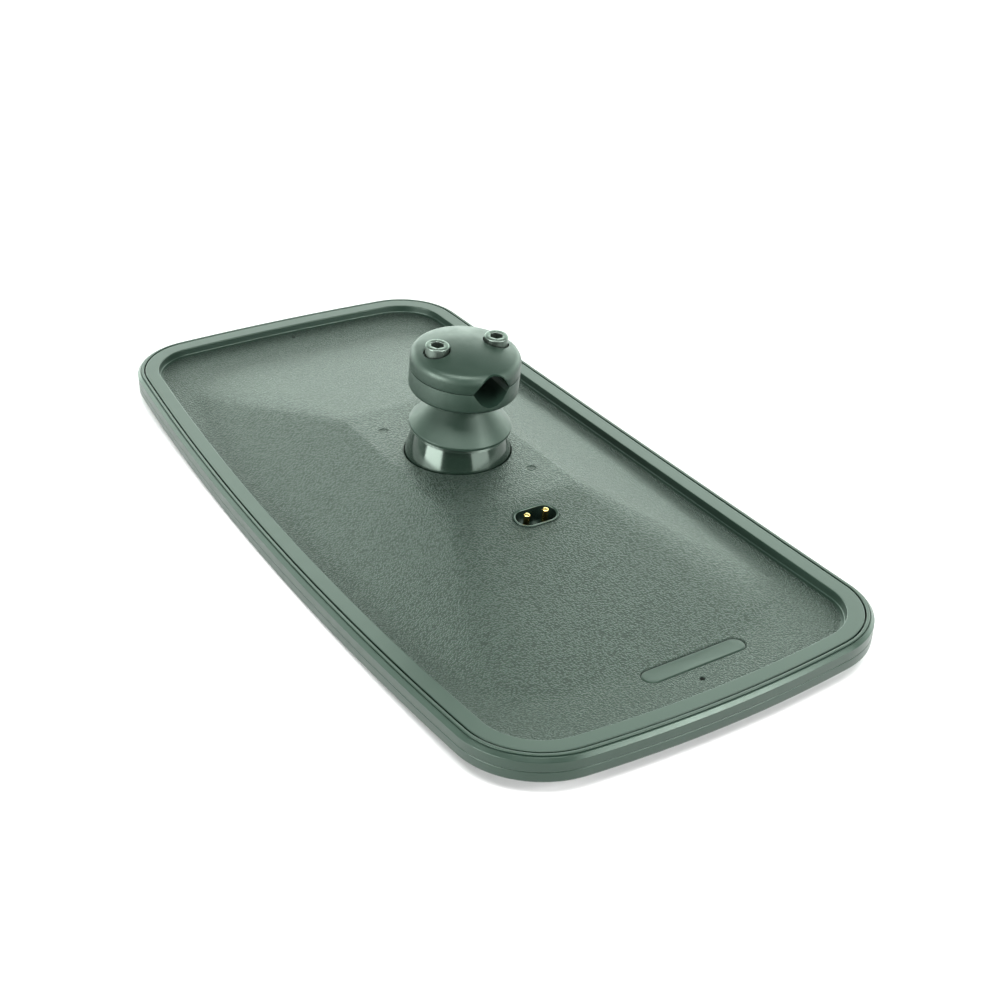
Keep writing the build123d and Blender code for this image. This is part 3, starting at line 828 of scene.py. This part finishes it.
def turned(name, corners, body, slot_name, stands_for, upright=False, count=144):
    """A ring with a closed section of (radius, height, rounding) corners, about the ball's centre."""
    bm = bmesh.new()
    loops = [ring_vertices(bm, p.x, p.y, count, (0, 0), False) for p in rounded(corners)]
    loops_to_faces(bm, loops)
    matrix = Matrix.Translation((0, ball_y, ball_z))
    if not upright:
        matrix = matrix @ clamp_turn
    bmesh.ops.transform(bm, matrix=matrix, verts=bm.verts)
    return finished(name, bm, body, slot_name, stands_for)


def arc(radius, start, end, steps):
    """Corners along a circle about the ball's centre, from one height to another."""
    first, last = math.asin(start / radius), math.asin(end / radius)
    turns = [first + (last - first) * k / steps for k in range(steps + 1)]
    return [(radius * math.cos(turn), radius * math.sin(turn), 0) for turn in turns]


def across(radius, height):
    """Half width of a sphere at a height above its centre; also its height at a half width."""
    return math.sqrt(radius**2 - height**2)


shell_under = plateau_z - shell_wall - ball_z
plate_top = shell_under - 2.5 * MM
# Below the cone the ring is nearly straight, with a slight bulge
flare = []
for step in range(flare_steps):
    share = step / flare_steps
    straight = ball_radius + (across(ball_radius, flare_high) - ball_radius) * share
    radius = straight + flare_bulge * 4 * share * (1 - share)
    flare.append((radius, flare_low + (flare_high - flare_low) * share, 0))
turned(
    "ball_ring",
    [(ball_flange, plate_top, 0), (ball_flange, shell_under, 0), (ball_radius, shell_under, 0)]
    + flare
    + arc(ball_radius, flare_high, across(ball_radius, crown_bore), 30)
    + arc(ball_hollow, across(ball_hollow, crown_bore), 0.0, 20)
    + [(ball_hollow, plate_top, 0)],
    "mirror_head",
    "ball_gloss",
    "ball_dome",
    upright=True,
    count=192,
)
turned(
    "liner_ring_edge",
    arc(liner_inner, liner_low, liner_high, 12) + arc(liner_outer, liner_high, liner_low, 12),
    "liner_ring",
    "liner_plastic",
    "friction_liner",
)
turned(
    "cone",
    [
        (cone_radius, cone_low, 0.35 * MM),
        (cone_radius, cone_edge_high, 0.55 * MM),
        (neck_radius, neck_low, 1.2 * MM),
        (neck_radius, neck_high, 0.3 * MM),
        (stud_bore, neck_high, 0),
    ]
    + arc(cup_inner, across(cup_inner, stud_bore), cone_low, 20)[:-1]
    + [(across(cup_inner, cone_low), cone_low, 0)],
    "swivel_cup",
    "clamp_nylon",
    "cone_cup",
)

# ---------------------------------------------------------------- heater socket

socket_frame = Matrix.Translation((socket_x, socket_y, socket_z)) @ Matrix.Rotation(socket_tilt, 4, "Y")


def socket_housing():
    """The socket's cup: an oblong wall with a rounded lip, and its floor."""
    corners = [
        (socket_radius, socket_low, 0),
        (socket_radius, socket_lip, 0.3 * MM),
        (socket_radius - socket_wall, socket_lip, 0.75 * MM),
        (socket_radius - socket_wall, socket_floor, 0.4 * MM),
    ]
    bm = bmesh.new()
    section = rounded(corners)
    loops = []
    for point in section:
        ring = slot_points((0, 0), socket_half_run, point.x, 72)
        loops.append([bm.verts.new((a, b, point.y)) for a, b in ring])
    loops_to_faces(bm, loops, closed=False)
    bm.faces.new(loops[0])
    bm.faces.new(loops[-1])
    bmesh.ops.transform(bm, matrix=socket_frame, verts=bm.verts)
    piece = finished("socket_cup", bm, "mirror_head", "rim_plastic", "connector_housing")
    piece.data.materials.append(inner_gloss)
    inward = socket_frame.inverted()
    for polygon in piece.data.polygons:
        deep = (inward @ polygon.center).z < -0.15 * MM
        polygon.material_index = 1 if deep else 0
    return piece


def socket_pins():
    """Two round pins with bevelled tips."""
    bm = bmesh.new()
    section = [
        (pin_tail_radius, pin_low),
        (pin_tail_radius, socket_floor),
        (pin_radius, socket_floor),
        (pin_radius, pin_top - 0.45 * MM),
        (pin_radius - 0.1 * MM, pin_top - 0.2 * MM),
        (pin_radius - 0.35 * MM, pin_top - 0.06 * MM),
        (pin_radius - 0.75 * MM, pin_top),
    ]
    for side in (-1, 1):
        place = (0, side * pin_half_spacing)
        loops = [ring_vertices(bm, radius, up, 40, place, False) for radius, up in section]
        loops_to_faces(bm, loops, closed=False)
        bm.faces.new(loops[0])
        bm.faces.new(loops[-1])
    bmesh.ops.transform(bm, matrix=socket_frame, verts=bm.verts)
    return finished("contact_pins", bm, "mirror_head", "contact_brass", "terminal_pins")


socket_housing()
socket_pins()

# ---------------------------------------------------------------- clamp screws


def clamp_screw(letter, side):
    """Socket cap screw: bevelled head with a hexagon socket, and its shank."""
    place = (side * screw_offset * math.cos(screw_turn), side * screw_offset * math.sin(screw_turn))
    rings = [
        (screw_radius, screw_low, False),
        (screw_radius, head_low, False),
        (head_radius - 0.25 * MM, head_low, False),
        (head_radius, head_low + 0.17 * MM, False),
        (head_radius, head_high - 0.7 * MM, False),
        (head_radius - 0.07 * MM, head_high - 0.38 * MM, False),
        (head_radius - 0.28 * MM, head_high - 0.14 * MM, False),
        (head_radius - 0.6 * MM, head_high - 0.04 * MM, False),
        (head_radius - 0.9 * MM, head_high, False),
        (hexagon_half + 0.55 * MM, head_high, False),
        (hexagon_half + 0.12 * MM, head_high - 0.15 * MM, True),
        (hexagon_half, head_high - 0.35 * MM, True),
        (hexagon_half, hexagon_floor, True),
        (1.2 * MM, hexagon_floor - 0.5 * MM, False),
    ]
    bm = bmesh.new()
    loops = [ring_vertices(bm, radius, up, 96, place, flats) for radius, up, flats in rings]
    loops_to_faces(bm, loops, closed=False)
    bm.faces.new(loops[0])
    bm.faces.new(loops[-1])
    matrix = Matrix.Translation((0, ball_y, ball_z)) @ clamp_turn
    bmesh.ops.transform(bm, matrix=matrix, verts=bm.verts)
    return finished(
        f"cap_screw_{letter}", bm, f"screw_{letter}", "screw_coating", f"clamp_screw_{letter}", sharp=35.0
    )


for letter, side in (("a", 1), ("b", -1)):
    clamp_screw(letter, side)

# ---------------------------------------------------------------- glass


def mirror_pane():
    """The convex glass: two curved faces with ground edges."""
    rounding = 0.4 * MM
    corners = [
        (12.0 * MM, glass_low, 0),
        (3.5 * MM, glass_low, rounding),
        (3.5 * MM, glass_high, rounding),
        (12.0 * MM, glass_high, 0),
    ]
    bm = bmesh.new()
    loops = swept_loops(bm, rounded(corners, 4))
    loops_to_faces(bm, loops, closed=False)
    for height, previous in ((glass_low, loops[0]), (glass_high, loops[-1])):
        edge = [vertex.co.to_2d() for vertex in previous]
        for share in np.linspace(0.97, 0.03, 33):
            ring = []
            for point in edge:
                reach = point.length * share
                ring.append(bm.verts.new((point.x * share, point.y * share, curve_z(height, reach))))
            loops_to_faces(bm, [previous, ring], closed=False)
            previous = ring
        bm.faces.new(previous)
    return finished("pane", bm, "mirror_head", "mirror_coating", "mirror_glass")


mirror_pane()

# ---------------------------------------------------------------- stage, lights and camera


floor_reach = 6.0
floor_drop = 0.2 * MM


def stage_floor():
    """A wide pale floor with painted shade round the object: its colour is darker near the middle."""
    bm = bmesh.new()
    bmesh.ops.create_grid(bm, x_segments=8, y_segments=8, size=floor_reach)
    mesh = bpy.data.meshes.new("floor")
    bm.to_mesh(mesh)
    bm.free()
    floor = bpy.data.objects.new("floor", mesh)
    bpy.context.scene.collection.objects.link(floor)
    material, tree, shader = new_material("pale_floor_with_painted_shade")
    distance = vector_node(tree, "LENGTH", texture_point(tree))
    # Painted shade: the floor's colour is darker near the object and brightens out to about 0.8 m
    tone = ramp(tree, distance, [(0.30, 0.66), (0.80, 0.95)])
    tree.links.new(tone, shader.inputs["Base Color"])
    shader.inputs["Roughness"].default_value = 0.6
    mesh.materials.append(material)
    floor.location.z = -floor_drop


def toward(azimuth, elevation):
    """Direction of an azimuth, which is 0 at -Y and grows towards +X, and an elevation, in degrees."""
    turn, rise = math.radians(azimuth), math.radians(elevation)
    return Vector((math.sin(turn) * math.cos(rise), -math.cos(turn) * math.cos(rise), math.sin(rise)))


light_aim = Vector((0, 0, 0.03))


def softbox(name, azimuth, elevation, distance, size, power):
    """A rectangular light that faces the mirror head; azimuth 0 stands at -Y."""
    light = bpy.data.lights.new(name, "AREA")
    light.shape = "RECTANGLE"
    light.size, light.size_y = size
    light.energy = power
    lamp = bpy.data.objects.new(name, light)
    bpy.context.scene.collection.objects.link(lamp)
    away = toward(azimuth, elevation)
    lamp.location = away * distance + light_aim
    lamp.rotation_euler = away.to_track_quat("Z", "Y").to_euler()
    lamp.visible_camera = False


backdrop_stops = [(0.30, 0.05), (0.62, 0.35), (0.85, 1.0)]
height_stops = [(0.0, 1.0), (0.20, 1.0), (0.40, 0.84), (0.52, 0.44), (0.60, 0.14), (0.80, 0.09)]
backdrop_strength = 6.2
backdrop_tint = (0.87, 1.0, 0.92, 1.0)

camera_azimuth = 57.835
camera_elevation = 30.305
camera_roll = 1.251
camera_distance = 0.63409
camera_aim = Vector((0.008537, 0.017925, -0.001398))
camera_lens = 51.333


def make_camera():
    """Camera at the object's three-quarter view."""
    camera = bpy.data.cameras.new("camera")
    camera.sensor_width = 36.0
    camera.lens = camera_lens
    holder = bpy.data.objects.new("camera", camera)
    bpy.context.scene.collection.objects.link(holder)
    back = toward(camera_azimuth, camera_elevation)
    right = Vector((0, 0, 1)).cross(back).normalized()
    up = back.cross(right)
    roll = math.radians(camera_roll)
    x_axis = right * math.cos(roll) + up * math.sin(roll)
    y_axis = up * math.cos(roll) - right * math.sin(roll)
    turn_matrix = Matrix((x_axis, y_axis, back)).transposed().to_4x4()
    holder.matrix_world = Matrix.Translation(camera_aim + back * camera_distance) @ turn_matrix
    bpy.context.scene.camera = holder


def make_world():
    """A studio with a white backdrop behind the object, dim overhead and in front."""
    world = bpy.data.worlds.new("studio")
    world.use_nodes = True
    tree = world.node_tree
    direction = tree.nodes.new("ShaderNodeTexCoord").outputs["Generated"]
    turn = math.radians(camera_azimuth)
    behind = vector_node(tree, "DOT_PRODUCT", direction, (-math.sin(turn), math.cos(turn), 0.0))
    parts = tree.nodes.new("ShaderNodeSeparateXYZ")
    tree.links.new(direction, parts.inputs["Vector"])
    backdrop = ramp(tree, math_node(tree, "MULTIPLY_ADD", behind, 0.5, 0.5), backdrop_stops)
    height = ramp(tree, parts.outputs["Z"], height_stops)
    light = multiplied(tree, multiplied(tree, backdrop, height), backdrop_tint)
    background = tree.nodes["Background"]
    tree.links.new(light, background.inputs["Color"])
    background.inputs["Strength"].default_value = backdrop_strength
    bpy.context.scene.world = world


stage_floor()
make_world()
make_camera()
# Name, degrees round from the camera, elevation, distance in metres, size in metres, power in watts
soft_lights = [
    ("left_box", -53, 13, 1.1, (0.80, 0.50), 22),
    ("right_box", 53, 13, 1.1, (0.80, 0.50), 8),
    ("top_box", 4, 66, 1.4, (1.10, 0.45), 30),
    ("edge_box", 62, 28, 1.3, (0.40, 0.25), 11),
]
for name, aside_by, elevation, distance, size, power in soft_lights:
    softbox(name, camera_azimuth + aside_by, elevation, distance, size, power)
bpy.context.scene.view_settings.view_transform = "Standard"
